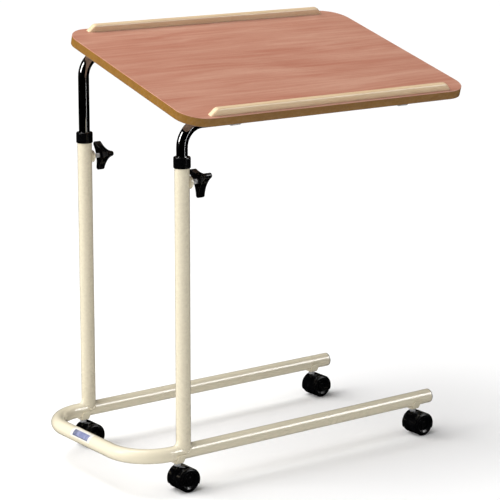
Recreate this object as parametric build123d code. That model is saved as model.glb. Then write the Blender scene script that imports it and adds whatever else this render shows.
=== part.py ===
from build123d import *
from math import cos, radians, sin, tan
import os

# Overbed table: a U-shaped floor frame on four twin-wheel castors, two posts near the closed end of
# the U, a chrome arm that slides in each post and is locked by a clamp knob, and a wooden top that
# the two arms carry. The rear arm stands higher than the front one, so the top is tilted.
# Millimetres. X runs along the table, from the posts to the open ends of the legs. -Y is the front,
# the lower edge of the top. +Z is up and z = 0 is the floor. The origin is under the middle of the
# whole object.

# ---------------------------------------------------------------- driving dimensions
# Tabletop
top_length = 600.0
top_width = 400.0
board_thickness = 15.0
laminate_thickness = 0.8
corner_radius = 45.0
tilt = 15.4
top_overhang = 15.0          # how far the top reaches past the posts, away from the legs
front_arm_inset = 42.0       # front edge of the top to the front arm, up the slope
arm_gap = 1.0                # underside of the top to an arm

# Floor frame and posts
tube_radius = 12.5
tube_wall = 1.2
post_spacing = 296.0
leg_length = 540.0           # post axis to the open end of a leg tube
frame_axis_z = 67.0
frame_bend_radius = 73.0
cross_bar_offset = 95.0      # post axis to the cross bar's axis
post_top_z = 560.5
label_length = 60.0
label_y = 6.0
label_edge_z = 1.0           # lower edge of the label above the tube's axis
label_thickness = 0.2

# Chrome arms
arm_radius = 9.5
arm_wall = 1.2
arm_bend_radius = 38.0
front_arm_z = 617.5
arm_reach = 530.0            # post axis to the free end of an arm
arm_tail = 470.0             # start of the bend to the lower end of an arm, inside its post

# Collar bushes
collar_radius = 14.3
collar_bottom_z = 546.5
collar_top_z = 565.5
sleeve_bottom_z = 532.5
slide_clearance = 0.3

# Clamp knobs
clamp_z = 521.5
boss_radius = 10.5
boss_reach = 16.0            # post axis to the boss's outer face
screw_radius = 3.92
boss_bore_radius = 4.0
post_hole_radius = 4.3
pad_radius = 3.8
pad_thickness = 1.4
knob_back = 30.0             # post axis to the knob's back face
knob_thickness = 13.0
lobe_distance = 23.5
lobe_radius = 4.5
knob_waist = 12.0            # knob axis to the hollow between two lobes
front_knob_turn = 29.0
rear_knob_turn = 13.0

# Castors
wheel_radius = 20.0
wheel_inner_y = 6.0
wheel_outer_y = 18.8
castor_trail = 12.0
hood_radius = 22.0
hood_half_width = 18.5
web_half_width = 5.6
hood_edge_z = 11.5
hood_top_z = 44.5
crown_radius = 8.0
crown_half_width = 7.5
stem_radius = 4.0
stem_bottom_z = 25.0
stem_collar_radius = 5.5
stem_collar_bottom_z = 44.8
bracket_bottom_z = 49.8
bracket_width = 16.0
axle_radius = 2.5
running_clearance = 0.05
near_castor_offset = -12.0   # post axis to the castor stems by the posts
far_castor_offset = 505.0    # post axis to the castor stems by the leg ends

# Lip strips and arm clips
strip_size = 12.0
strip_inset = 6.0
strip_length = 513.0
strip_bevel = 12.0
clip_width = 16.0
clip_thickness = 1.5
clip_foot = 13.0
clip_spacing = 360.0
rear_slot_low = 11.5         # how far the rear clips let the arm come nearer to the front arm
rear_slot_high = 3.5
screw_head_radius = 3.8
screw_head_height = 2.0
wood_screw_radius = 1.9
wood_screw_depth = 10.0

# ---------------------------------------------------------------- derived places
slope = radians(tilt)
left_end = -(cross_bar_offset + tube_radius)
right_end = top_length - top_overhang
post_x = -(left_end + right_end) / 2
front_y = -post_spacing / 2
rear_y = post_spacing / 2
arm_depth = board_thickness + arm_gap + arm_radius
rear_arm_z = front_arm_z + post_spacing * tan(slope)
rear_arm_inset = front_arm_inset + post_spacing / cos(slope)
edge_y = front_y - arm_depth * sin(slope) - front_arm_inset * cos(slope)
edge_z = front_arm_z + arm_depth * cos(slope) - front_arm_inset * sin(slope)
tube_bore = tube_radius - tube_wall
arm_bore = arm_radius - arm_wall
sleeve_bore = arm_radius + slide_clearance
top_place = Plane(
    origin=(post_x - top_overhang, edge_y, edge_z),
    x_dir=(1, 0, 0),
    z_dir=(0, -sin(slope), cos(slope)),
).location
clip_positions = [top_length / 2 - clip_spacing / 2, top_length / 2 + clip_spacing / 2]

SIDES = {"front": front_y, "rear": rear_y}
ARM_HEIGHTS = {"front": front_arm_z, "rear": rear_arm_z}
ARM_INSETS = {"front": front_arm_inset, "rear": rear_arm_inset}
KNOB_TURNS = {"front": front_knob_turn, "rear": rear_knob_turn}
CASTORS = {
    "front_near": (near_castor_offset, front_y),
    "rear_near": (near_castor_offset, rear_y),
    "front_far": (far_castor_offset, front_y),
    "rear_far": (far_castor_offset, rear_y),
}


# ---------------------------------------------------------------- helpers
def rod(start, direction, radius, length):
    """A solid cylinder that starts at a point and runs along a direction."""
    place = Plane(origin=start, z_dir=direction)
    return extrude(place * Circle(radius), amount=length)


def rod_x(x, y, z, radius, length):
    return rod((x, y, z), (1, 0, 0), radius, length)


def rod_z(x, y, z, radius, length):
    return rod((x, y, z), (0, 0, 1), radius, length)


def tube_along(corners, bend, outer, inner):
    """A round tube that follows straight runs joined by bends of one radius."""
    path = FilletPolyline(*corners, radius=bend)
    ring = Circle(outer) - Circle(inner)
    return sweep(Plane(origin=path @ 0, z_dir=path % 0) * ring, path=path)


def save(name, shape):
    """Write one sub-part as its own STEP file."""
    shape.label = name
    export_step(shape, f"parts/{name}.step")


# ---------------------------------------------------------------- floor frame
def base_frame_tube():
    reach = post_x + leg_length
    closed = post_x - cross_bar_offset
    corners = [
        (reach, front_y, frame_axis_z),
        (closed, front_y, frame_axis_z),
        (closed, rear_y, frame_axis_z),
        (reach, rear_y, frame_axis_z),
    ]
    frame = tube_along(corners, frame_bend_radius, tube_radius, tube_bore)
    for offset, y in CASTORS.values():
        frame -= rod_z(post_x + offset, y, frame_axis_z - tube_radius - 2, stem_radius + 0.2, 6)
    return frame


def post_tube(y):
    length = post_top_z - frame_axis_z
    post = rod_z(post_x, y, frame_axis_z, tube_radius, length)
    post -= rod_z(post_x, y, frame_axis_z, tube_bore, length)
    post -= rod_x(post_x - 30, y, frame_axis_z, tube_radius, 60)
    post -= rod_x(post_x, y, clamp_z, post_hole_radius, 30)
    return post


def leg_cap(y):
    end = post_x + leg_length
    head = rod_x(end, y, frame_axis_z, tube_radius, 2)
    rim = head.edges().group_by(Axis.X)[-1]
    head = fillet(rim, 1.2)
    return head + rod_x(end - 15, y, frame_axis_z, tube_bore - running_clearance, 15)


def castor_bracket(x, y):
    """A solid lug welded under the tube, with the tapped hole for the stem."""
    low = bracket_bottom_z
    high = frame_axis_z - 1.5
    outer = Polyline((-6.5, low), (6.5, low), (15.5, high), (-15.5, high), close=True)
    section = make_face(outer) - Pos(0, frame_axis_z) * Circle(tube_radius)
    lug = extrude(Plane((x, y, 0), x_dir=(0, 1, 0), z_dir=(1, 0, 0)) * section, bracket_width / 2, both=True)
    lug = fillet(lug.edges().filter_by(Axis.Y).group_by(Axis.Z)[0], 1.5)
    return lug - rod_z(x, y, low - 1, stem_radius + 0.1, 12)


def collar_bush(y):
    skirt_height = collar_top_z - collar_bottom_z
    bush = rod_z(post_x, y, collar_bottom_z, collar_radius, skirt_height)
    bush = fillet(bush.edges().group_by(Axis.Z)[-1], 2.5)
    bush = chamfer(bush.edges().group_by(Axis.Z)[0], 1.2)
    bush -= rod_z(post_x, y, collar_bottom_z, tube_radius + running_clearance, post_top_z - collar_bottom_z)
    sleeve_height = post_top_z - sleeve_bottom_z
    bush += rod_z(post_x, y, sleeve_bottom_z, tube_bore - running_clearance, sleeve_height)
    return bush - rod_z(post_x, y, sleeve_bottom_z, sleeve_bore, collar_top_z - sleeve_bottom_z)


def clamp_boss(y):
    root = tube_radius - 4
    boss = rod_x(post_x + root, y, clamp_z, boss_radius, boss_reach - root)
    boss = fillet(boss.edges().group_by(Axis.X)[-1], 0.8)
    weld = Cone(boss_radius + 2, boss_radius, 4, align=(Align.CENTER, Align.CENTER, Align.MIN))
    boss += Plane((post_x + root, y, clamp_z), z_dir=(1, 0, 0)).location * weld
    boss -= rod_z(post_x, y, clamp_z - 20, tube_radius, 40)
    return boss - rod_x(post_x, y, clamp_z, boss_bore_radius, 30)


def label_sticker():
    """A blank plate wrapped over the upper outer quarter of the closed end."""
    x = post_x - cross_bar_offset
    outer = Circle(tube_radius + label_thickness) - Circle(tube_radius)
    height = 2 * (tube_radius - label_edge_z)
    window = Pos(-tube_radius, tube_radius) * Rectangle(2 * tube_radius, height)
    band = Plane((x, label_y, frame_axis_z), x_dir=(1, 0, 0), z_dir=(0, -1, 0)) * (outer & window)
    return extrude(band, label_length / 2, both=True)


# ---------------------------------------------------------------- chrome arms
def arm_bottom_z(height):
    return height - arm_bend_radius - arm_tail


def arm_tube(y, height):
    corners = [
        (post_x, y, arm_bottom_z(height)),
        (post_x, y, height),
        (post_x + arm_reach, y, height),
    ]
    return tube_along(corners, arm_bend_radius, arm_radius, arm_bore)


def arm_end_plug(y, height):
    end = post_x + arm_reach
    head = rod_x(end, y, height, arm_radius, 2)
    head = fillet(head.edges().group_by(Axis.X)[-1], 1.2)
    return head + rod_x(end - 12, y, height, arm_bore - running_clearance, 12)


def guide_bush(y, height):
    foot = arm_bottom_z(height)
    bush = rod_z(post_x, y, foot - 12, tube_bore - slide_clearance, 12)
    bush = chamfer(bush.edges().group_by(Axis.Z)[0], 1)
    bush += rod_z(post_x, y, foot, arm_bore - running_clearance, 14)
    return bush - rod_z(post_x, y, foot - 12, 3, 26)


# ---------------------------------------------------------------- clamp knobs
def pressure_pad(y):
    face = post_x + arm_radius + 0.1
    pad = rod_x(face, y, clamp_z, pad_radius, pad_thickness)
    return pad - rod_x(face + 0.7, y, clamp_z, 1.5, pad_thickness)


def knob_screw(y):
    start = post_x + arm_radius + 0.1 + pad_thickness + running_clearance
    length = post_x + knob_back + 7 - start
    screw = rod_x(start, y, clamp_z, screw_radius, length)
    return screw + rod_x(start - 0.6, y, clamp_z, 1.4, 0.6)


def knob_outline():
    """Three rounded lobes, joined by hollows that run smoothly into them."""
    reach = (lobe_distance**2 - (knob_waist - lobe_radius) ** 2) / (lobe_distance - 2 * (knob_waist - lobe_radius))
    hollow_radius = reach - knob_waist
    outline = make_hull(
        [edge for turn in (0, 120, 240) for edge in (Rot(0, 0, turn) * Pos(lobe_distance) * Circle(lobe_radius)).edges()]
    )
    for turn in (60, 180, 300):
        outline -= Rot(0, 0, turn) * Pos(reach) * Circle(hollow_radius)
    return outline


def knob(y, turn):
    place = Plane((post_x + knob_back, y, clamp_z), x_dir=(0, -1, 0), z_dir=(1, 0, 0)).location
    body = extrude(knob_outline(), knob_thickness)
    body = fillet(body.edges().group_by(Axis.Z)[-1], 2.5)
    body = fillet(body.edges().group_by(Axis.Z)[0], 1)
    body += Pos(0, 0, -2) * extrude(Circle(7.5), 3)
    body -= Pos(0, 0, -2) * extrude(Circle(screw_radius + 0.03), 9.05)
    return place * Rot(0, 0, -turn) * body


# ---------------------------------------------------------------- tabletop
def top_slab(low, high):
    """A slice of the top with its rounded corners, in the top's own frame."""
    outline = Pos(top_length / 2, top_width / 2) * RectangleRounded(top_length, top_width, corner_radius)
    return Pos(0, 0, low) * extrude(outline, high - low)


def screw_places():
    """Where the wood screws of the arm clips stand, along the top and up its slope."""
    for name, inset in ARM_INSETS.items():
        low, high = clip_feet(name, inset)
        for along in clip_positions:
            yield along, low - clip_foot / 2
            yield along, high + clip_foot / 2


def clip_slot(name):
    """How far a clip lets its arm move down and up the slope."""
    return (rear_slot_low, rear_slot_high) if name == "rear" else (0.0, 0.0)


def clip_feet(name, inset):
    """Where the wall of a clip meets its two feet."""
    low, high = clip_slot(name)
    half = arm_radius + slide_clearance + clip_thickness
    return inset - low - half - clip_play(name), inset + high + half + clip_play(name)


def clip_play(name):
    """The rear clips hold their arm loosely, so that it can find its own level as the top tilts."""
    return 0.7 if name == "rear" else 0.0


def top_board():
    board = top_slab(laminate_thickness - board_thickness, -laminate_thickness)
    board = drilled(board)
    return top_place * board


def drilled(slab):
    for along, up in screw_places():
        hole = extrude(Circle(wood_screw_radius + running_clearance), wood_screw_depth + 1)
        slab -= Pos(along, up, -board_thickness) * hole
    return slab


def top_laminate():
    sheet = top_slab(-laminate_thickness, 0)
    sheet = chamfer(sheet.edges().group_by(Axis.Z)[-1], 0.4)
    return top_place * sheet


def underside_laminate():
    return top_place * drilled(top_slab(-board_thickness, laminate_thickness - board_thickness))


def lip_strip(inset):
    """A round-topped batten with sloping, rounded ends, laid along one long edge of the top."""
    half = strip_length / 2
    side = Polyline(
        (-half, 0), (half, 0), (half - strip_bevel, strip_size), (strip_bevel - half, strip_size), close=True
    )
    side = fillet(make_face(side).vertices().group_by(Axis.Y)[-1], 9)
    batten = extrude(Plane.XZ * side, strip_size / 2, both=True)
    batten = fillet(batten.edges().filter_by(Plane.XZ) - batten.edges().group_by(Axis.Z)[0], 3.5)
    return top_place * Pos(top_length / 2, inset, 0) * batten


def arm_clip(name, along):
    """A strap saddle: two feet screwed to the underside and a loop round the arm."""
    inset = ARM_INSETS[name]
    low, high = clip_slot(name)
    play = clip_play(name)
    bore = arm_radius + slide_clearance + play
    middle = inset + (high - low) / 2
    span = high + low
    loop = Pos(middle, -arm_depth) * loop_face(span, bore + clip_thickness)
    foot_low, foot_high = clip_feet(name, inset)
    foot_span = foot_high - foot_low + 2 * clip_foot
    feet = Pos(middle, -board_thickness - clip_thickness / 2) * Rectangle(foot_span, clip_thickness)
    hollow = Pos(middle, -arm_depth) * loop_face(span, bore)
    section = loop + feet - hollow
    section &= Pos(middle, -board_thickness - 40) * Rectangle(200, 80)
    strap = extrude(Plane.YZ * section, clip_width / 2, both=True)
    for up in (foot_low - clip_foot / 2, foot_high + clip_foot / 2):
        strap -= Pos(0, up, -board_thickness - 5) * extrude(Circle(wood_screw_radius + 0.2), 6)
    return top_place * Pos(along, 0, 0) * strap


def loop_face(span, radius):
    """A U-shaped face, open upwards, as wide as its span plus two radii."""
    face = Pos(0, radius / 2) * Rectangle(span + 2 * radius, radius)
    face += Pos(0, -radius / 2) * Rectangle(span, radius) if span > 0 else Circle(radius)
    for side in (-1, 1):
        face += Pos(side * span / 2, 0) * Circle(radius)
    return face


def clip_screws():
    """All the wood screws of the arm clips, as separate solids in one group."""
    screws = []
    for along, up in screw_places():
        under = -board_thickness - clip_thickness
        shank = Pos(0, 0, under) * extrude(Circle(wood_screw_radius), wood_screw_depth + clip_thickness)
        head = Pos(0, 0, under - screw_head_height) * extrude(Circle(screw_head_radius), screw_head_height)
        head = fillet(head.edges().group_by(Axis.Z)[0], 1.2)
        screws.append(top_place * Pos(along, up, 0) * (shank + head))
    return Compound(children=screws)


# ---------------------------------------------------------------- castors
def castor_stem():
    """The threaded stem, its collar, and the smooth pin that the hood turns on."""
    pin = rod_z(0, 0, stem_bottom_z, stem_radius, stem_collar_bottom_z - stem_bottom_z)
    collar = rod_z(0, 0, stem_collar_bottom_z, stem_collar_radius, bracket_bottom_z - stem_collar_bottom_z)
    thread = rod_z(0, 0, bracket_bottom_z, stem_radius, 10)
    return pin + collar + thread


def castor_hood():
    """One moulding: a web with the stem socket, and a mudguard over both wheels."""
    rim = Pos(castor_trail, wheel_radius) * Circle(hood_radius)
    guard = extrude(Plane.XZ * rim, hood_half_width, both=True)
    guard = fillet(guard.edges().group_by(Axis.Y)[0] + guard.edges().group_by(Axis.Y)[-1], 2)
    crown = Pos(0, hood_top_z + 1 - crown_radius) * Circle(crown_radius)
    ridge = extrude(Plane.XZ * make_hull(rim.edges() + crown.edges()), crown_half_width, both=True)
    ridge = fillet(ridge.edges().group_by(Axis.Y)[0] + ridge.edges().group_by(Axis.Y)[-1], 3)
    hood = guard + ridge
    hood -= Pos(castor_trail, 0, hood_edge_z - 20) * Box(80, 60, 40)
    hood -= Pos(0, 0, hood_top_z + 5) * Box(30, 60, 10)
    for side in (-1, 1):
        start = web_half_width if side > 0 else -web_half_width
        hood -= rod((castor_trail, start, wheel_radius), (0, side, 0), wheel_radius + 1, 20)
    hub = Pos(castor_trail, wheel_radius) * Circle(8)
    hood += extrude(Plane.XZ * hub, web_half_width, both=True)
    hood -= rod_z(0, 0, stem_bottom_z - 1, stem_radius + running_clearance, 30)
    return hood - rod((castor_trail, -20, wheel_radius), (0, 1, 0), axle_radius, 40)


def castor_axle():
    length = 2 * (wheel_outer_y - 3)
    return rod((castor_trail, -length / 2, wheel_radius), (0, 1, 0), axle_radius, length)


def castor_wheel(side):
    """A moulded wheel with a rounded tread, a dished outer face and a blind bore."""
    width = wheel_outer_y - wheel_inner_y
    wheel = extrude(Circle(wheel_radius), width)
    wheel = fillet(wheel.edges().group_by(Axis.Z)[-1], 2.5)
    wheel = fillet(wheel.edges().group_by(Axis.Z)[0], 1)
    dish = Cone(11, 14, 2.5, align=(Align.CENTER, Align.CENTER, Align.MAX))
    wheel -= Pos(0, 0, width) * dish
    cap = Cone(6.5, 5.5, 2, align=(Align.CENTER, Align.CENTER, Align.MIN))
    wheel += Pos(0, 0, width - 2.5) * cap
    wheel -= extrude(Circle(axle_radius + running_clearance), width - 2)
    place = Plane((castor_trail, side * wheel_inner_y, wheel_radius), z_dir=(0, side, 0))
    return place.location * wheel


# ---------------------------------------------------------------- write every part
def main():
    os.makedirs("parts", exist_ok=True)
    save("base_frame_tube", base_frame_tube())
    save("label_sticker", label_sticker())
    for side, y in SIDES.items():
        height = ARM_HEIGHTS[side]
        save(f"{side}_post_tube", post_tube(y))
        save(f"{side}_leg_cap", leg_cap(y))
        save(f"{side}_collar_bush", collar_bush(y))
        save(f"{side}_clamp_boss", clamp_boss(y))
        save(f"{side}_arm_tube", arm_tube(y, height))
        save(f"{side}_arm_end_plug", arm_end_plug(y, height))
        save(f"{side}_guide_bush", guide_bush(y, height))
        save(f"{side}_pressure_pad", pressure_pad(y))
        save(f"{side}_knob_screw", knob_screw(y))
        save(f"{side}_clamp_knob", knob(y, KNOB_TURNS[side]))
        for end, along in zip(("near", "far"), clip_positions):
            save(f"{side}_{end}_arm_clip", arm_clip(side, along))
    save("table_board", top_board())
    save("top_laminate", top_laminate())
    save("underside_laminate", underside_laminate())
    save("front_lip_strip", lip_strip(strip_inset + strip_size / 2))
    save("rear_lip_strip", lip_strip(top_width - strip_inset - strip_size / 2))
    save("clip_screws", clip_screws())
    for name, (offset, y) in CASTORS.items():
        place = Pos(post_x + offset, y, 0)
        save(f"{name}_castor_bracket", castor_bracket(post_x + offset, y))
        save(f"{name}_castor_stem", place * castor_stem())
        save(f"{name}_castor_hood", place * castor_hood())
        save(f"{name}_castor_axle", place * castor_axle())
        save(f"{name}_outer_wheel", place * castor_wheel(-1))
        save(f"{name}_inner_wheel", place * castor_wheel(1))


main()
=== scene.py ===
"""Overbed table: finishes, fine pieces, studio and camera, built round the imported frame."""

import logging
import math
from dataclasses import dataclass
from enum import Enum
from typing import Callable, Iterable, Optional, Sequence

import bmesh
import bpy
from mathutils import Matrix, Vector


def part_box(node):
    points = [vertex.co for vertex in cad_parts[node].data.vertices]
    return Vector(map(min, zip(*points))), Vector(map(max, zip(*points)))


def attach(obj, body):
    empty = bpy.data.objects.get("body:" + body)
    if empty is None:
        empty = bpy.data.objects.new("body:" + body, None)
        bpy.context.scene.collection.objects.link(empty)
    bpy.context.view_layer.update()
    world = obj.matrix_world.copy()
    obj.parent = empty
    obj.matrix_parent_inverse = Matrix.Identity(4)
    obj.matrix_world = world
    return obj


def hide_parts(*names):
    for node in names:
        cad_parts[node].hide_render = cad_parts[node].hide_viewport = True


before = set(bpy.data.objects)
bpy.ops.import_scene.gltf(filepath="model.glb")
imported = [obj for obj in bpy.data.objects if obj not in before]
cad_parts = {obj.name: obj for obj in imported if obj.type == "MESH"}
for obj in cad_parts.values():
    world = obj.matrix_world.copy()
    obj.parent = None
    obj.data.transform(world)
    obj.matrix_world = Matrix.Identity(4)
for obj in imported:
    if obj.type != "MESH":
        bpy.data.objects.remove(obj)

log = logging.getLogger("overbed_table")
MM = 0.001
Colour = tuple[float, float, float]
Place = tuple[float, float, float]
Slots = dict[str, str]


# ------------------------------------------------------------------ named options
class Side(Enum):
    """The two long sides of the table."""

    FRONT = "front"
    REAR = "rear"


class Corner(Enum):
    """The four castor positions."""

    FRONT_NEAR = "front_near"
    REAR_NEAR = "rear_near"
    FRONT_FAR = "front_far"
    REAR_FAR = "rear_far"


class WheelPlace(Enum):
    """The two wheels of one castor."""

    OUTER = "outer"
    INNER = "inner"


class Effect(Enum):
    """Shader node groups that several finishes share."""

    ORANGE_PEEL = "Orange Peel"
    WOOD_GRAIN = "Wood Grain"
    SMUDGE = "Smudge"
    EDGE_WEAR = "Edge Wear"
    DUST = "Settled Dust"


# ------------------------------------------------------------------ node graph helper
class Graph:
    """Adds and joins shader nodes in one tree."""

    def __init__(self, tree: bpy.types.NodeTree) -> None:
        """Keep the tree to add to."""
        self.tree = tree

    def add(self, kind: str, values: Optional[dict] = None, **settings: object) -> bpy.types.Node:
        """Add a node.

        Args:
            kind: The node's type, such as "ShaderNodeTexNoise".
            values: Input socket names and their constants or the sockets that feed them.
            settings: Attributes to set on the node.

        Returns:
            The new node.
        """
        node = self.tree.nodes.new(kind)
        for name, value in settings.items():
            setattr(node, name, value)
        for name, value in (values or {}).items():
            self.feed(node.inputs[name], value)
        return node

    def feed(self, socket: bpy.types.NodeSocket, value: object) -> None:
        """Link a socket to an input, or set the input's constant.

        Args:
            socket: The input to feed.
            value: A socket, a number, or a colour or vector.
        """
        if isinstance(value, bpy.types.NodeSocket):
            self.tree.links.new(value, socket)
        elif isinstance(value, (tuple, list)) and len(value) == 3 and socket.type == "RGBA":
            socket.default_value = (*value, 1.0)
        else:
            socket.default_value = value

    def maths(
        self, operation: str, first: object, second: object = 0.5, clamp: bool = False
    ) -> bpy.types.NodeSocket:
        """Apply one Math operation.

        Args:
            operation: The Math node's operation.
            first: The first number or socket.
            second: The second number or socket.
            clamp: Whether the result is kept between 0 and 1.

        Returns:
            The result's socket.
        """
        node = self.add("ShaderNodeMath", operation=operation, use_clamp=clamp)
        self.feed(node.inputs[0], first)
        self.feed(node.inputs[1], second)
        return node.outputs[0]

    def remap(
        self, value: object, low: float, high: float, to_low: float, to_high: float
    ) -> bpy.types.NodeSocket:
        """Map a range of numbers onto another, clamped.

        Args:
            value: The number or socket to map.
            low: The value that becomes to_low.
            high: The value that becomes to_high.
            to_low: The result at low.
            to_high: The result at high.

        Returns:
            The result's socket.
        """
        node = self.add(
            "ShaderNodeMapRange",
            {
                "Value": value,
                "From Min": low,
                "From Max": high,
                "To Min": to_low,
                "To Max": to_high,
            },
        )
        return node.outputs["Result"]

    def blend(self, factor: object, first: object, second: object) -> bpy.types.NodeSocket:
        """Mix two colours.

        Args:
            factor: How much of the second colour shows.
            first: The first colour or socket.
            second: The second colour or socket.

        Returns:
            The mixed colour's socket.
        """
        node = self.add("ShaderNodeMix", data_type="RGBA", blend_type="MIX")
        self.feed(node.inputs[0], factor)
        self.feed(node.inputs[6], first)
        self.feed(node.inputs[7], second)
        return node.outputs[2]

    def noise(
        self, vector: object, scale: float, detail: float = 3.0, roughness: float = 0.5
    ) -> bpy.types.NodeSocket:
        """Add noise.

        Args:
            vector: The coordinates' socket.
            scale: Features per metre.
            detail: Octaves.
            roughness: Weight of the fine octaves.

        Returns:
            The noise value's socket.
        """
        values = {"Vector": vector, "Scale": scale, "Detail": detail, "Roughness": roughness}
        return self.add("ShaderNodeTexNoise", values).outputs["Fac"]

    def stretched(self, vector: object, scale: Sequence[float]) -> bpy.types.NodeSocket:
        """Stretch coordinates.

        Args:
            vector: The coordinates' socket.
            scale: Scale along each axis.

        Returns:
            The mapped coordinates' socket.
        """
        return self.add("ShaderNodeMapping", {"Vector": vector, "Scale": scale}).outputs[0]

    def bump(self, height: object, strength: float, distance: float) -> bpy.types.NodeSocket:
        """Turn a height into a normal.

        Args:
            height: The height's socket.
            strength: The bump's strength.
            distance: The height in metres of a value of one.

        Returns:
            The normal's socket.
        """
        values = {"Strength": strength, "Distance": distance, "Height": height}
        return self.add("ShaderNodeBump", values).outputs["Normal"]

    def object_place(self) -> bpy.types.NodeSocket:
        """The coordinates in the piece's own frame."""
        return self.add("ShaderNodeTexCoord").outputs["Object"]


# ------------------------------------------------------------------ shared effects
class EffectLibrary:
    """Builds each shared node group once and places it in materials."""

    def __init__(self) -> None:
        """Start with no group built."""
        self._built: dict[Effect, bpy.types.NodeTree] = {}
        self._makers: dict[Effect, Callable[[], bpy.types.NodeTree]] = {
            Effect.ORANGE_PEEL: self._orange_peel,
            Effect.WOOD_GRAIN: self._wood_grain,
            Effect.SMUDGE: self._smudge,
            Effect.EDGE_WEAR: self._edge_wear,
            Effect.DUST: self._dust,
        }

    def place(self, graph: Graph, effect: Effect, values: Optional[dict] = None) -> bpy.types.Node:
        """Put an effect in a material.

        Args:
            graph: The material's graph.
            effect: Which effect.
            values: Its inputs.

        Returns:
            The group node.
        """
        if effect not in self._built:
            self._built[effect] = self._makers[effect]()
        node = graph.tree.nodes.new("ShaderNodeGroup")
        node.node_tree = self._built[effect]
        for name, value in (values or {}).items():
            graph.feed(node.inputs[name], value)
        return node

    @staticmethod
    def _start(
        effect: Effect, inputs: dict[str, float], outputs: Iterable[str]
    ) -> tuple[Graph, bpy.types.Node, bpy.types.Node]:
        """Open a new group.

        Args:
            effect: The effect that names the group.
            inputs: Input names and defaults, after the Vector input.
            outputs: Output names.

        Returns:
            The group's graph, its input node and its output node.
        """
        tree = bpy.data.node_groups.new(effect.value, "ShaderNodeTree")
        tree.interface.new_socket("Vector", in_out="INPUT", socket_type="NodeSocketVector")
        for name, default in inputs.items():
            socket = tree.interface.new_socket(name, in_out="INPUT", socket_type="NodeSocketFloat")
            socket.default_value = default
        for name in outputs:
            tree.interface.new_socket(name, in_out="OUTPUT", socket_type="NodeSocketFloat")
        graph = Graph(tree)
        return graph, tree.nodes.new("NodeGroupInput"), tree.nodes.new("NodeGroupOutput")

    def _orange_peel(self) -> bpy.types.NodeTree:
        """The dimpled skin of sprayed powder and of moulded plastic."""
        inputs = {"Scale": 400.0, "Grit": 0.3}
        graph, into, out = self._start(Effect.ORANGE_PEEL, inputs, ["Height"])
        wide = graph.add("ShaderNodeTexNoise", {"Vector": into.outputs["Vector"], "Detail": 1.0})
        graph.feed(wide.inputs["Scale"], into.outputs["Scale"])
        fine = graph.add("ShaderNodeTexNoise", {"Vector": into.outputs["Vector"], "Detail": 2.0})
        graph.feed(fine.inputs["Scale"], graph.maths("MULTIPLY", into.outputs["Scale"], 5.0))
        grit = graph.maths("MULTIPLY", fine.outputs["Fac"], into.outputs["Grit"])
        graph.feed(out.inputs["Height"], graph.maths("ADD", wide.outputs["Fac"], grit))
        return graph.tree

    def _wood_grain(self) -> bpy.types.NodeTree:
        """Long fibres along local X: a streak value, fine pores and a slow change of tone."""
        inputs = {"Figure": 14.0, "Fibre": 260.0, "Waver": 0.35}
        graph, into, out = self._start(Effect.WOOD_GRAIN, inputs, ["Streak", "Pore", "Tone"])
        place = into.outputs["Vector"]
        slow = graph.noise(graph.stretched(place, (1.6, 7.0, 7.0)), 1.0, 2.0)
        shift = graph.maths("MULTIPLY", graph.maths("SUBTRACT", slow, 0.5), into.outputs["Waver"])
        moved = graph.add("ShaderNodeVectorMath", {0: place, 1: shift}, operation="ADD").outputs[0]
        long_figure = graph.stretched(moved, (0.12, 1.0, 1.0))
        figure = graph.add("ShaderNodeTexNoise", {"Vector": long_figure, "Detail": 5.0})
        graph.feed(figure.inputs["Scale"], into.outputs["Figure"])
        long_fibre = graph.stretched(moved, (0.03, 1.0, 1.0))
        fibre = graph.add("ShaderNodeTexNoise", {"Vector": long_fibre, "Detail": 4.0})
        graph.feed(fibre.inputs["Scale"], into.outputs["Fibre"])
        figure_share = 0.52
        streak = graph.maths("MULTIPLY_ADD", figure.outputs["Fac"], figure_share)
        fine = graph.maths("MULTIPLY", fibre.outputs["Fac"], 0.48)
        graph.feed(streak.node.inputs[2], fine)
        pore = graph.noise(graph.stretched(place, (45.0, 900.0, 900.0)), 1.0, 2.0, 0.7)
        graph.feed(out.inputs["Streak"], graph.remap(streak, 0.36, 0.64, 0.0, 1.0))
        graph.feed(out.inputs["Pore"], graph.remap(pore, 0.58, 0.72, 0.0, 1.0))
        graph.feed(out.inputs["Tone"], graph.remap(slow, 0.3, 0.7, 0.0, 1.0))
        return graph.tree

    def _smudge(self) -> bpy.types.NodeTree:
        """Hand marks and cleaning haze, as a value between 0 and 1."""
        graph, into, out = self._start(Effect.SMUDGE, {"Scale": 18.0}, ["Value"])
        values = {
            "Vector": into.outputs["Vector"],
            "Scale": into.outputs["Scale"],
            "Detail": 6.0,
            "Roughness": 0.62,
            "Distortion": 0.6,
        }
        cloud = graph.add("ShaderNodeTexNoise", values)
        graph.feed(out.inputs["Value"], graph.remap(cloud.outputs["Fac"], 0.35, 0.7, 0.0, 1.0))
        return graph.tree

    def _edge_wear(self) -> bpy.types.NodeTree:
        """Where corners stand proud, broken up by noise."""
        graph, into, out = self._start(Effect.EDGE_WEAR, {"Amount": 0.5}, ["Mask"])
        proud = graph.add("ShaderNodeNewGeometry").outputs["Pointiness"]
        edge = graph.remap(proud, 0.57, 0.68, 0.0, 1.0)
        chips = graph.noise(into.outputs["Vector"], 220.0, 5.0, 0.65)
        worn = graph.maths("MULTIPLY", edge, graph.remap(chips, 0.4, 0.62, 0.0, 1.0))
        mask = graph.maths("MULTIPLY", worn, into.outputs["Amount"], clamp=True)
        graph.feed(out.inputs["Mask"], mask)
        return graph.tree

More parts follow.
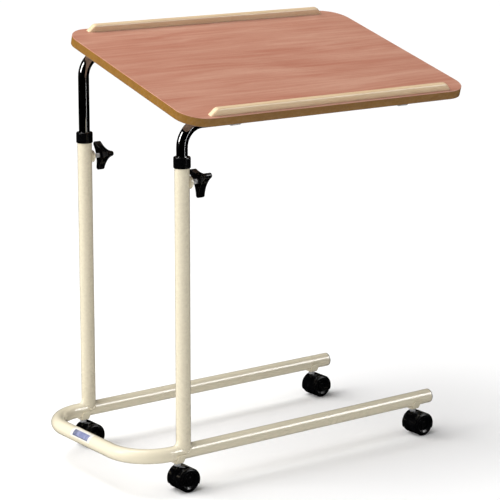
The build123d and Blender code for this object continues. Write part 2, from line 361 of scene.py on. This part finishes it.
    def _dust(self) -> bpy.types.NodeTree:
        """A thin veil on faces that look up."""
        graph, into, out = self._start(Effect.DUST, {"Amount": 0.2}, ["Mask"])
        normal = graph.add("ShaderNodeNewGeometry").outputs["Normal"]
        up = graph.add("ShaderNodeSeparateXYZ", {0: normal}).outputs["Z"]
        specks = graph.noise(into.outputs["Vector"], 60.0, 6.0, 0.7)
        veil = graph.remap(specks, 0.35, 0.75, 0.2, 1.0)
        facing = graph.remap(up, 0.35, 0.95, 0.0, 1.0)
        settled = graph.maths("MULTIPLY", facing, veil)
        mask = graph.maths("MULTIPLY", settled, into.outputs["Amount"], clamp=True)
        graph.feed(out.inputs["Mask"], mask)
        return graph.tree


EFFECTS = EffectLibrary()


# ------------------------------------------------------------------ finishes
@dataclass(frozen=True)
class Finish:
    """A finish: a material's name and how its nodes are laid."""

    name: str

    def build(self) -> bpy.types.Material:
        """Build the material.

        Returns:
            The new material.
        """
        material = bpy.data.materials.new(self.name)
        material.use_nodes = True
        material.node_tree.nodes.clear()
        graph = Graph(material.node_tree)
        out = graph.add("ShaderNodeOutputMaterial")
        shader = graph.add("ShaderNodeBsdfPrincipled")
        graph.feed(out.inputs["Surface"], shader.outputs["BSDF"])
        self.lay(graph, shader)
        return material

    def lay(self, graph: Graph, shader: bpy.types.Node) -> None:
        """Feed the shader.

        Args:
            graph: The material's graph.
            shader: Its Principled BSDF.
        """
        raise NotImplementedError

    @staticmethod
    def effect(graph: Graph, effect: Effect, place: object, **values: float) -> bpy.types.Node:
        """Place a shared effect.

        Args:
            graph: The material's graph.
            effect: Which effect.
            place: The coordinates' socket.
            values: The effect's other inputs.

        Returns:
            The group node.
        """
        return EFFECTS.place(graph, effect, {"Vector": place, **values})


@dataclass(frozen=True)
class PowderCoat(Finish):
    """Glossy sprayed powder coat with a fine orange peel and faint hand marks."""

    colour: Colour = (0.78, 0.71, 0.54)
    deep: Colour = (0.75, 0.67, 0.49)
    dusty: Colour = (0.78, 0.75, 0.69)
    worn: Colour = (0.52, 0.45, 0.33)
    roughness: float = 0.26
    haze: float = 0.1
    marks: float = 0.12
    coat_roughness: float = 0.06
    peel: float = 0.04
    peel_height: float = 0.3 * MM

    def lay(self, graph: Graph, shader: bpy.types.Node) -> None:
        """Feed the shader with cream paint."""
        place = graph.object_place()
        mark = self.effect(graph, Effect.SMUDGE, place, Scale=22.0).outputs["Value"]
        dust = self.effect(graph, Effect.DUST, place, Amount=0.06).outputs["Mask"]
        wear = self.effect(graph, Effect.EDGE_WEAR, place, Amount=0.35).outputs["Mask"]
        tone = graph.blend(graph.maths("MULTIPLY", mark, self.marks), self.colour, self.deep)
        dusty = graph.blend(dust, tone, self.dusty)
        rough = graph.remap(mark, 0, 1, self.roughness, self.roughness + self.haze)
        graph.feed(shader.inputs["Base Color"], graph.blend(wear, dusty, self.worn))
        graph.feed(shader.inputs["Roughness"], rough)
        graph.feed(shader.inputs["Coat Weight"], 1.0)
        graph.feed(shader.inputs["Coat Roughness"], self.coat_roughness)
        peel = self.effect(graph, Effect.ORANGE_PEEL, place, Scale=420.0, Grit=0.15)
        height = peel.outputs["Height"]
        graph.feed(shader.inputs["Normal"], graph.bump(height, self.peel, self.peel_height))


@dataclass(frozen=True)
class Metal(Finish):
    """Plated steel with fine rubbed haze."""

    colour: Colour = (0.86, 0.87, 0.88)
    dull: Colour = (0.70, 0.70, 0.70)
    roughness: float = 0.05
    haze: float = 0.10
    peel: float = 0.02
    peel_height: float = 0.5 * MM
    rubbing: float = 0.6
    metallic: float = 1.0

    def lay(self, graph: Graph, shader: bpy.types.Node) -> None:
        """Feed the shader with plated metal."""
        place = graph.object_place()
        mark = self.effect(graph, Effect.SMUDGE, place, Scale=34.0).outputs["Value"]
        wear = self.effect(graph, Effect.EDGE_WEAR, place, Amount=0.4).outputs["Mask"]
        rubbed = graph.maths("MAXIMUM", graph.maths("MULTIPLY", mark, self.rubbing), wear)
        rough = graph.remap(mark, 0, 1, self.roughness, self.roughness + self.haze)
        graph.feed(shader.inputs["Base Color"], graph.blend(rubbed, self.colour, self.dull))
        graph.feed(shader.inputs["Metallic"], self.metallic)
        graph.feed(shader.inputs["Roughness"], rough)
        peel = self.effect(graph, Effect.ORANGE_PEEL, place, Scale=240.0, Grit=0.3)
        height = peel.outputs["Height"]
        graph.feed(shader.inputs["Normal"], graph.bump(height, self.peel, self.peel_height))


@dataclass(frozen=True)
class Plastic(Finish):
    """Moulded plastic with a fine grain, rubbed edges and settled dust."""

    colour: Colour = (0.0018, 0.0018, 0.0022)
    rubbed: Colour = (0.016, 0.016, 0.017)
    dusty: Colour = (0.42, 0.41, 0.39)
    roughness: float = 0.14
    haze: float = 0.16
    grain: float = 0.05
    grain_height: float = 0.3 * MM
    dust: float = 0.008

    def lay(self, graph: Graph, shader: bpy.types.Node) -> None:
        """Feed the shader with plastic."""
        place = graph.object_place()
        mark = self.effect(graph, Effect.SMUDGE, place, Scale=60.0).outputs["Value"]
        wear = self.effect(graph, Effect.EDGE_WEAR, place, Amount=0.7).outputs["Mask"]
        dust = self.effect(graph, Effect.DUST, place, Amount=self.dust).outputs["Mask"]
        edged = graph.blend(wear, self.colour, self.rubbed)
        rough = graph.remap(mark, 0, 1, self.roughness, self.roughness + self.haze)
        graph.feed(shader.inputs["Base Color"], graph.blend(dust, edged, self.dusty))
        graph.feed(shader.inputs["Roughness"], rough)
        peel = self.effect(graph, Effect.ORANGE_PEEL, place, Scale=900.0, Grit=0.5)
        height = peel.outputs["Height"]
        graph.feed(shader.inputs["Normal"], graph.bump(height, self.grain, self.grain_height))


@dataclass(frozen=True)
class BoardFinish(Finish):
    """Something that shows long grain along the board's length, under a clear skin."""

    light: Colour = (0.61, 0.33, 0.235)
    dark: Colour = (0.47, 0.19, 0.125)
    pore: Colour = (0.34, 0.11, 0.07)
    worn: Colour = (0.75, 0.62, 0.50)
    figure: float = 26.0
    fibre: float = 170.0
    waver: float = 0.07
    roughness: float = 0.38
    coat: float = 0.15
    haze: float = 0.12
    coat_roughness: float = 0.25
    tilt: float = math.radians(15.4)
    tone_amount: float = 0.25
    pore_amount: float = 0.35
    pore_relief: float = 0.05
    pore_depth: float = 0.4 * MM

    def lay(self, graph: Graph, shader: bpy.types.Node) -> None:
        """Feed the shader with grain."""
        place = graph.object_place()
        turn = (-self.tilt, 0.0, 0.0)
        level = graph.add("ShaderNodeMapping", {"Vector": place, "Rotation": turn}).outputs[0]
        values = {"Figure": self.figure, "Fibre": self.fibre, "Waver": self.waver}
        grain = self.effect(graph, Effect.WOOD_GRAIN, level, **values)
        mark = self.effect(graph, Effect.SMUDGE, level, Scale=9.0).outputs["Value"]
        wear = self.effect(graph, Effect.EDGE_WEAR, level, Amount=0.12).outputs["Mask"]
        tone = graph.maths("MULTIPLY", grain.outputs["Tone"], self.tone_amount)
        pores = graph.maths("MULTIPLY", grain.outputs["Pore"], self.pore_amount)
        wood = graph.blend(grain.outputs["Streak"], self.light, self.dark)
        toned = graph.blend(tone, wood, self.dark)
        pored = graph.blend(pores, toned, self.pore)
        rough = graph.remap(mark, 0, 1, self.roughness, self.roughness + self.haze)
        graph.feed(shader.inputs["Base Color"], graph.blend(wear, pored, self.worn))
        graph.feed(shader.inputs["Roughness"], rough)
        graph.feed(shader.inputs["Coat Weight"], self.coat)
        graph.feed(shader.inputs["Coat Roughness"], self.coat_roughness)
        height = graph.maths("SUBTRACT", 1.0, grain.outputs["Pore"])
        graph.feed(shader.inputs["Normal"], graph.bump(height, self.pore_relief, self.pore_depth))


@dataclass(frozen=True)
class LabelFilm(Finish):
    """A blank printed plate under clear film: pale border, slate field and plain ruled bars."""

    field: Colour = (0.19, 0.21, 0.36)
    border: Colour = (0.74, 0.72, 0.66)
    bar: Colour = (0.05, 0.06, 0.10)
    centre_y: float = 6.0 * MM
    field_half: float = 23.5 * MM
    field_low_z: float = 70.2 * MM
    field_high_z: float = 78.8 * MM
    end_bar_from: float = 12.5 * MM
    low_bar_top_z: float = 71.6 * MM
    end_bar_tone: float = 0.55
    low_bar_tone: float = 0.8
    marks: float = 0.15

    def lay(self, graph: Graph, shader: bpy.types.Node) -> None:
        """Feed the shader with the plate's colours."""
        place = graph.object_place()
        parts = graph.add("ShaderNodeSeparateXYZ", {0: place})
        height = parts.outputs["Z"]
        along = graph.maths("SUBTRACT", parts.outputs["Y"], self.centre_y)
        mark = self.effect(graph, Effect.SMUDGE, place, Scale=70.0).outputs["Value"]
        inside = graph.maths("LESS_THAN", graph.maths("ABSOLUTE", along), self.field_half)
        low = graph.maths("GREATER_THAN", height, self.field_low_z)
        high = graph.maths("LESS_THAN", height, self.field_high_z)
        window = graph.maths("MULTIPLY", inside, graph.maths("MULTIPLY", low, high))
        end_bar = graph.maths("GREATER_THAN", along, self.end_bar_from)
        low_bar = graph.maths("LESS_THAN", height, self.low_bar_top_z)
        end_tone = graph.maths("MULTIPLY", end_bar, self.end_bar_tone)
        low_tone = graph.maths("MULTIPLY", low_bar, self.low_bar_tone)
        field = graph.blend(graph.maths("MAXIMUM", end_tone, low_tone), self.field, self.bar)
        shown = graph.blend(window, self.border, field)
        handled = graph.maths("MULTIPLY", mark, self.marks)
        graph.feed(shader.inputs["Base Color"], graph.blend(handled, shown, self.border))
        graph.feed(shader.inputs["Roughness"], graph.remap(mark, 0, 1, 0.22, 0.4))
        graph.feed(shader.inputs["Normal"], graph.bump(mark, 0.05, 0.0004))


@dataclass(frozen=True)
class FloorFinish(Finish):
    """The studio's plain pale floor."""

    colour: Colour = (0.93, 0.93, 0.93)
    shaded: Colour = (0.9, 0.9, 0.9)

    def lay(self, graph: Graph, shader: bpy.types.Node) -> None:
        """Feed the shader with a matt pale tone."""
        place = graph.object_place()
        soft = graph.maths("MULTIPLY", graph.noise(place, 1.2, 2.0), 0.05)
        graph.feed(shader.inputs["Base Color"], graph.blend(soft, self.colour, self.shaded))
        graph.feed(shader.inputs["Roughness"], 0.9)
        graph.feed(shader.inputs["Specular IOR Level"], 0.0)


class FinishBook:
    """Builds each finish once and hands out its material by slot."""

    def __init__(self) -> None:
        """List the finish of each slot."""
        self._finishes: dict[str, Finish] = {
            "cream_powder_coat": PowderCoat("cream_powder_coat"),
            "chrome": Metal("chrome"),
            "black_plastic": Plastic("black_plastic"),
            "wheel_plastic": Plastic("wheel_plastic", roughness=0.2, grain=0.08, dust=0.015),
            "zinc_steel": Metal(
                "zinc_steel",
                colour=(0.74, 0.75, 0.77),
                dull=(0.56, 0.56, 0.57),
                roughness=0.22,
                haze=0.16,
                peel=0.06,
                metallic=0.45,
            ),
            "nylon": Plastic(
                "nylon",
                colour=(0.62, 0.60, 0.55),
                rubbed=(0.72, 0.70, 0.66),
                roughness=0.4,
                grain=0.1,
                dust=0.02,
            ),
            "grey_cap": Plastic(
                "grey_cap",
                colour=(0.03, 0.03, 0.033),
                rubbed=(0.07, 0.07, 0.07),
                roughness=0.38,
                grain=0.1,
                dust=0.03,
            ),
            "label": LabelFilm("label"),
            "board_edge": BoardFinish(
                "board_edge",
                light=(0.30, 0.14, 0.008),
                dark=(0.22, 0.095, 0.005),
                pore=(0.13, 0.05, 0.004),
                figure=60.0,
                fibre=700.0,
                waver=0.1,
                roughness=0.5,
                coat=0.0,
            ),
            "top_laminate": BoardFinish("top_laminate"),
            "backing_laminate": BoardFinish(
                "backing_laminate",
                light=(0.24, 0.14, 0.085),
                dark=(0.18, 0.10, 0.06),
                pore=(0.12, 0.06, 0.04),
                figure=10.0,
                fibre=200.0,
                waver=0.4,
                roughness=0.5,
                coat=0.0,
            ),
            "beech_strip": BoardFinish(
                "beech_strip",
                light=(0.86, 0.68, 0.45),
                dark=(0.74, 0.53, 0.31),
                pore=(0.45, 0.26, 0.12),
                figure=60.0,
                fibre=600.0,
                waver=0.08,
                roughness=0.3,
                coat=0.4,
            ),
        }
        self._built: dict[str, bpy.types.Material] = {}

    def material(self, slot: str) -> bpy.types.Material:
        """Find a slot's material, building it the first time.

        Args:
            slot: The record's slot name.

        Returns:
            The material.
        """
        if slot not in self._built:
            self._built[slot] = self._finishes[slot].build()
        return self._built[slot]

    def dress(self, piece: bpy.types.Object, slot: str) -> None:
        """Give a piece one finish.

        Args:
            piece: The mesh to dress.
            slot: The record's slot name.
        """
        piece.data.materials.clear()
        piece.data.materials.append(self.material(slot))


# ------------------------------------------------------------------ mesh helpers
def piece_from_rings(
    name: str, rings: Sequence[Sequence[Vector]], closed: bool = False
) -> bpy.types.Object:
    """Join rings of points into a smooth skin.

    Args:
        name: The piece's name.
        rings: Rings with the same number of points each.
        closed: Whether the last ring joins the first; otherwise both ends are capped.

    Returns:
        The new piece, linked to the scene.
    """
    mesh = bpy.data.meshes.new(name)
    skin = bmesh.new()
    laid = [[skin.verts.new(point) for point in ring] for ring in rings]
    count = len(laid[0])
    pairs = list(zip(laid, laid[1:])) + ([(laid[-1], laid[0])] if closed else [])
    for here, there in pairs:
        for index in range(count):
            after = (index + 1) % count
            skin.faces.new((here[index], here[after], there[after], there[index]))
    if not closed:
        skin.faces.new(list(reversed(laid[0])))
        skin.faces.new(laid[-1])
    bmesh.ops.recalc_face_normals(skin, faces=skin.faces)
    skin.to_mesh(mesh)
    skin.free()
    mesh.polygons.foreach_set("use_smooth", [True] * len(mesh.polygons))
    piece = bpy.data.objects.new(name, mesh)
    bpy.context.scene.collection.objects.link(piece)
    return piece


def centre_of(node: str) -> Vector:
    """Find the middle of a node's box.

    Args:
        node: The CAD node's name.

    Returns:
        The middle, in metres.
    """
    low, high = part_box(node)
    return (Vector(low) + Vector(high)) / 2


# ------------------------------------------------------------------ sub-assemblies
@dataclass
class SubAssembly:
    """A group of CAD nodes with finishes, and the fine pieces added to it."""

    book: FinishBook

    def build(self) -> list[bpy.types.Object]:
        """Add the group's fine pieces.

        Returns:
            The new pieces, none unless a group says otherwise.
        """
        return []

    def finishes(self) -> Slots:
        """Say which slot each node takes.

        Returns:
            Slot names by node name.
        """
        raise NotImplementedError

    def dress(self) -> None:
        """Give every node of the group its finish."""
        for node, slot in self.finishes().items():
            self.book.dress(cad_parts[node], slot)


@dataclass
class FloorFrame(SubAssembly):
    """The bent floor tube with its posts, caps, bosses, collars and label."""

    tube_radius: float = 12.5 * MM
    axis_z: float = 67.0 * MM
    fillet: float = 5.0 * MM
    least_fillet: float = 0.4 * MM
    outer_share: float = 1.45
    inner_share: float = 0.8
    sink: float = 0.06 * MM
    root_depth: float = 0.35 * MM
    ripple: float = 0.16 * MM
    fillet_ripples: int = 46
    fillet_steps: int = 144
    fillet_parts: int = 8
    bead: float = 1.7 * MM
    bead_ripple: float = 0.14
    bead_ripples: int = 44
    bead_steps: int = 192
    bead_spokes: int = 12

    def build(self) -> list[bpy.types.Object]:
        """Add the weld fillets and seam beads at the feet of the posts.

        Returns:
            The new pieces.
        """
        return [piece for side in Side for piece in (self._weld(side), self._bead(side))]

    def _fillet_ring(self, turn: float) -> list[Vector]:
        """Draw the fillet's section at one place round the post.

        Args:
            turn: The angle round the post, in radians.

        Returns:
            The section's points, about the point where post and tube axes cross.
        """
        radius = self.tube_radius
        lean = abs(math.cos(turn))
        side_share = self.outer_share if math.cos(turn) < 0 else self.inner_share
        reach = self.least_fillet + self.fillet * lean ** 0.8 * side_share
        reach += self.ripple * math.sin(self.fillet_ripples * turn) * lean
        root = Vector((radius * math.cos(turn), radius * math.sin(turn), radius * lean))
        high = root + Vector((0, 0, reach)) * 1.25
        high -= Vector((math.cos(turn), math.sin(turn), 0)) * self.sink
        far_x = (radius + reach) * math.cos(turn)
        far_y = min(radius, (radius + reach * 0.35)) * math.sin(turn)
        drop = math.sqrt(max(0.0, radius ** 2 - far_y ** 2))
        low = Vector((far_x, far_y, drop - self.sink))
        inner = root - Vector((math.cos(turn), math.sin(turn), 0.6)) * self.root_depth
        ring = []
        for part in range(self.fillet_parts + 1):
            t = part / self.fillet_parts
            ring.append(high * (1 - t) ** 2 + root * 2 * t * (1 - t) + low * t ** 2)
        return ring + [inner]

    def _weld(self, side: Side) -> bpy.types.Object:
        """Lay a weld fillet where a post stands on the floor tube.

        Args:
            side: Which post.

        Returns:
            The fillet.
        """
        post = centre_of(f"{side.value}_collar_bush")
        middle = Vector((post.x, post.y, self.axis_z))
        rings = []
        for step in range(self.fillet_steps):
            turn = 2 * math.pi * step / self.fillet_steps
            rings.append([point + middle for point in self._fillet_ring(turn)])
        fillet = piece_from_rings(f"{side.value}_post_weld", rings, closed=True)
        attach(fillet, "base")
        self.book.dress(fillet, "cream_powder_coat")
        return fillet

    def _bead(self, side: Side) -> bpy.types.Object:
        """Run a rippled bead along the saddle seam, where it dips down the tube's flanks.

        Args:
            side: Which post.

        Returns:
            The bead.
        """
        post = centre_of(f"{side.value}_collar_bush")
        middle = Vector((post.x, post.y, self.axis_z))
        radius = self.tube_radius
        steps = self.bead_steps
        path = []
        for step in range(steps):
            turn = 2 * math.pi * step / steps
            rise = radius * math.sqrt(0.92 * math.cos(turn) ** 2 + 0.015)
            path.append(middle + Vector((radius * math.cos(turn), radius * math.sin(turn), rise)))
        rings = []
        for step, point in enumerate(path):
            turn = 2 * math.pi * step / steps
            along = (path[(step + 1) % steps] - path[step - 1]).normalized()
            outward = Vector((math.cos(turn), math.sin(turn), 0.0))
            across = along.cross(outward).normalized()
            thick = self.bead * (1 + self.bead_ripple * math.sin(self.bead_ripples * turn))
            ring = []
            for spoke in range(self.bead_spokes):
                angle = 2 * math.pi * spoke / self.bead_spokes
                over = outward * thick * math.cos(angle)
                ring.append(point + over + across * thick * math.sin(angle))
            rings.append(ring)
        bead = piece_from_rings(f"{side.value}_seam_bead", rings, closed=True)
        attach(bead, "base")
        self.book.dress(bead, "cream_powder_coat")
        return bead

    def finishes(self) -> Slots:
        """Say which slot each node takes.

        Returns:
            Slot names by node name.
        """
        slots = {"base_frame_tube": "cream_powder_coat", "label_sticker": "label"}
        for side in Side:
            slots[f"{side.value}_post_tube"] = "cream_powder_coat"
            slots[f"{side.value}_clamp_boss"] = "cream_powder_coat"
            slots[f"{side.value}_leg_cap"] = "grey_cap"
            slots[f"{side.value}_collar_bush"] = "black_plastic"
        return slots


@dataclass
class Arms(SubAssembly):
    """The two bent chrome arms with their end plugs and guide bushes."""

    def finishes(self) -> Slots:
        """Say which slot each node takes.

        Returns:
            Slot names by node name.
        """
        slots = {}
        for side in Side:
            slots[f"{side.value}_arm_tube"] = "chrome"
            slots[f"{side.value}_arm_end_plug"] = "black_plastic"
            slots[f"{side.value}_guide_bush"] = "nylon"
        return slots


@dataclass
class ClampKnobs(SubAssembly):
    """The tri-lobe clamp knobs with threaded screws and pressure pads."""

    pitch: float = 1.25 * MM
    depth: float = 0.62 * MM
    around: int = 40
    along: float = 0.16 * MM
    chamfer_length: float = 0.9 * MM
    chamfer_depth: float = 0.5 * MM

    def build(self) -> list[bpy.types.Object]:
        """Cut a thread on each screw.

        Returns:
            The threaded screws.
        """
        return [self._screw(side) for side in Side]

    def _screw(self, side: Side) -> bpy.types.Object:
        """Build one threaded screw in place of the plain one.

        Args:
            side: Which clamp.

        Returns:
            The screw.
        """
        node = f"{side.value}_knob_screw"
        low, high = (Vector(corner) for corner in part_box(node))
        middle = (low + high) / 2
        radius = (high.z - low.z) / 2
        length = high.x - low.x
        count = int(length / self.along)
        rings = []
        for index in range(count + 1):
            x = length * index / count
            ends = min(1.0, min(x, length - x) / self.chamfer_length)
            ring = []
            for spoke in range(self.around):
                turn = 2 * math.pi * spoke / self.around
                phase = (x / self.pitch - spoke / self.around) % 1.0
                groove = self.depth * (1 - abs(2 * phase - 1))
                reach = radius - groove - self.chamfer_depth * (1 - ends)
                y = middle.y + reach * math.cos(turn)
                z = middle.z + reach * math.sin(turn)
                ring.append(Vector((low.x + x, y, z)))
            rings.append(ring)
        screw = piece_from_rings(f"{side.value}_threaded_screw", rings)
        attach(screw, f"{side.value}_knob")
        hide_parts(node)
        self.book.dress(screw, "zinc_steel")
        return screw

    def finishes(self) -> Slots:
        """Say which slot each node takes.

        Returns:
            Slot names by node name.
        """
        slots = {}
        for side in Side:
            slots[f"{side.value}_clamp_knob"] = "black_plastic"
            slots[f"{side.value}_knob_screw"] = "zinc_steel"
            slots[f"{side.value}_pressure_pad"] = "nylon"
        return slots


@dataclass
class Tabletop(SubAssembly):
    """The laminated board with its beech lip strips, arm clips and clip screws."""

    def finishes(self) -> Slots:
        """Say which slot each node takes.

        Returns:
            Slot names by node name.
        """
        slots = {
            "table_board": "board_edge",
            "top_laminate": "top_laminate",
            "underside_laminate": "backing_laminate",
            "clip_screws": "zinc_steel",
        }
        for side in Side:
            slots[f"{side.value}_lip_strip"] = "beech_strip"
            slots[f"{side.value}_near_arm_clip"] = "zinc_steel"
            slots[f"{side.value}_far_arm_clip"] = "zinc_steel"
        return slots


@dataclass
class Castors(SubAssembly):
    """The four hooded twin-wheel castors on their welded brackets."""

    def finishes(self) -> Slots:
        """Say which slot each node takes.

        Returns:
            Slot names by node name.
        """
        slots = {}
        for corner in Corner:
            name = corner.value
            slots[f"{name}_castor_bracket"] = "cream_powder_coat"
            slots[f"{name}_castor_stem"] = "zinc_steel"
            slots[f"{name}_castor_hood"] = "black_plastic"
            slots[f"{name}_castor_axle"] = "zinc_steel"
            for wheel in WheelPlace:
                slots[f"{name}_{wheel.value}_wheel"] = "wheel_plastic"
        return slots


# ------------------------------------------------------------------ studio
@dataclass(frozen=True)
class SoftBox:
    """One rectangular studio light."""

    name: str
    place: Place
    target: Place
    size: tuple[float, float]
    power: float
    colour: Colour = (1.0, 1.0, 1.0)
    shine_only: bool = False

    def build(self) -> None:
        """Hang the light."""
        lamp = bpy.data.lights.new(self.name, "AREA")
        lamp.shape = "RECTANGLE"
        lamp.size, lamp.size_y = self.size
        lamp.energy = self.power
        lamp.color = self.colour
        light = bpy.data.objects.new(self.name, lamp)
        light.location = self.place
        aim = Vector(self.target) - Vector(self.place)
        light.rotation_euler = aim.to_track_quat("-Z", "Y").to_euler()
        light.visible_camera = False
        light.visible_diffuse = not self.shine_only
        bpy.context.scene.collection.objects.link(light)


@dataclass(frozen=True)
class StudioCamera:
    """The camera's place, aim and lens."""

    place: Place = (-2.0466, -2.7693, 1.1377)
    azimuth: float = math.radians(-36.57)
    elevation: float = math.radians(12.859)
    roll: float = math.radians(0.15)
    lens: float = 144.49
    sensor: float = 36.0
    sight: float = 200.0

    def build(self) -> None:
        """Set the camera up and make it the scene's."""
        data = bpy.data.cameras.new("studio_camera")
        data.sensor_width = self.sensor
        data.lens = self.lens
        data.clip_end = self.sight
        flat = math.cos(self.elevation)
        sideways = -math.sin(self.azimuth) * flat
        ahead = Vector((sideways, math.cos(self.azimuth) * flat, -math.sin(self.elevation)))
        right = ahead.cross(Vector((0, 0, 1))).normalized()
        up = right.cross(ahead)
        across = right * math.cos(self.roll) + up * math.sin(self.roll)
        above = up * math.cos(self.roll) - right * math.sin(self.roll)
        camera = bpy.data.objects.new("studio_camera", data)
        turn = Matrix((across, above, -ahead)).transposed().to_4x4()
        camera.matrix_world = Matrix.Translation(self.place) @ turn
        bpy.context.scene.collection.objects.link(camera)
        bpy.context.scene.camera = camera


@dataclass
class Studio:
    """The floor, the soft light and the camera."""

    floor_half: float = 45.0
    floor_gap: float = 0.5 * MM
    ambient: float = 0.29
    sun_power: float = 3.5
    sun_spread: float = math.radians(80)
    sun_aim: Place = (0.85, -0.35, -1.0)

    def build(self) -> None:
        """Set the studio up."""
        bpy.context.scene.view_settings.view_transform = "Standard"
        self._floor()
        self._world()
        self._sun()
        for box in self._boxes():
            box.build()
        StudioCamera().build()

    def _floor(self) -> None:
        """Lay the floor."""
        mesh = bpy.data.meshes.new("studio_floor")
        half = self.floor_half
        corners = [(-half, -half, 0), (half, -half, 0), (half, half, 0), (-half, half, 0)]
        mesh.from_pydata(corners, [], [(0, 1, 2, 3)])
        floor = bpy.data.objects.new("studio_floor", mesh)
        floor.location.z = -self.floor_gap
        mesh.materials.append(FloorFinish("studio_floor").build())
        bpy.context.scene.collection.objects.link(floor)
        floor.visible_glossy = False

    def _world(self) -> None:
        """Set the soft surrounding light."""
        world = bpy.data.worlds.new("studio_world")
        world.use_nodes = True
        background = world.node_tree.nodes["Background"]
        background.inputs["Color"].default_value = (1.0, 1.0, 1.0, 1.0)
        background.inputs["Strength"].default_value = self.ambient
        bpy.context.scene.world = world
        world.cycles_visibility.glossy = False

    def _sun(self) -> None:
        """Add broad light from above and the left."""
        lamp = bpy.data.lights.new("broad_sun", "SUN")
        lamp.energy = self.sun_power
        lamp.angle = self.sun_spread
        light = bpy.data.objects.new("broad_sun", lamp)
        light.rotation_euler = Vector(self.sun_aim).to_track_quat("-Z", "Y").to_euler()
        light.visible_glossy = False
        bpy.context.scene.collection.objects.link(light)

    @staticmethod
    def _boxes() -> list[SoftBox]:
        """List the soft boxes.

        Returns:
            The boxes.
        """
        middle = (0.0, 0.0, 0.45)
        posts = (-0.2, 0.0, 0.5)
        legs = (0.0, -0.1, 0.1)
        warm = (1.0, 0.98, 0.95)
        return [
            SoftBox("key_box", (-1.9, 0.5, 1.45), posts, (0.55, 1.1), 7.0, warm),
            SoftBox("top_box", (-0.6, 0.5, 2.4), middle, (0.5, 1.2), 8.0),
            SoftBox("side_box", (0.7, -2.4, 0.8), middle, (0.14, 1.6), 0.9),
            SoftBox("leg_box", (1.45, -1.65, 1.45), legs, (1.6, 0.9), 36.0, shine_only=True),
        ]


def main() -> None:
    """Build every group in order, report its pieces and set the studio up."""
    logging.basicConfig(level=logging.INFO, format="%(message)s")
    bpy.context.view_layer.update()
    book = FinishBook()
    groups: list[SubAssembly] = [
        FloorFrame(book),
        Arms(book),
        ClampKnobs(book),
        Tabletop(book),
        Castors(book),
    ]
    for group in groups:
        title = type(group).__name__
        for piece in group.build():
            log.info("%s: added %s", title, piece.name)
        group.dress()
        for node, slot in group.finishes().items():
            log.info("%s: %s in %s", title, node, slot)
    Studio().build()
    log.info("studio ready")


if __name__ == "__main__":
    main()
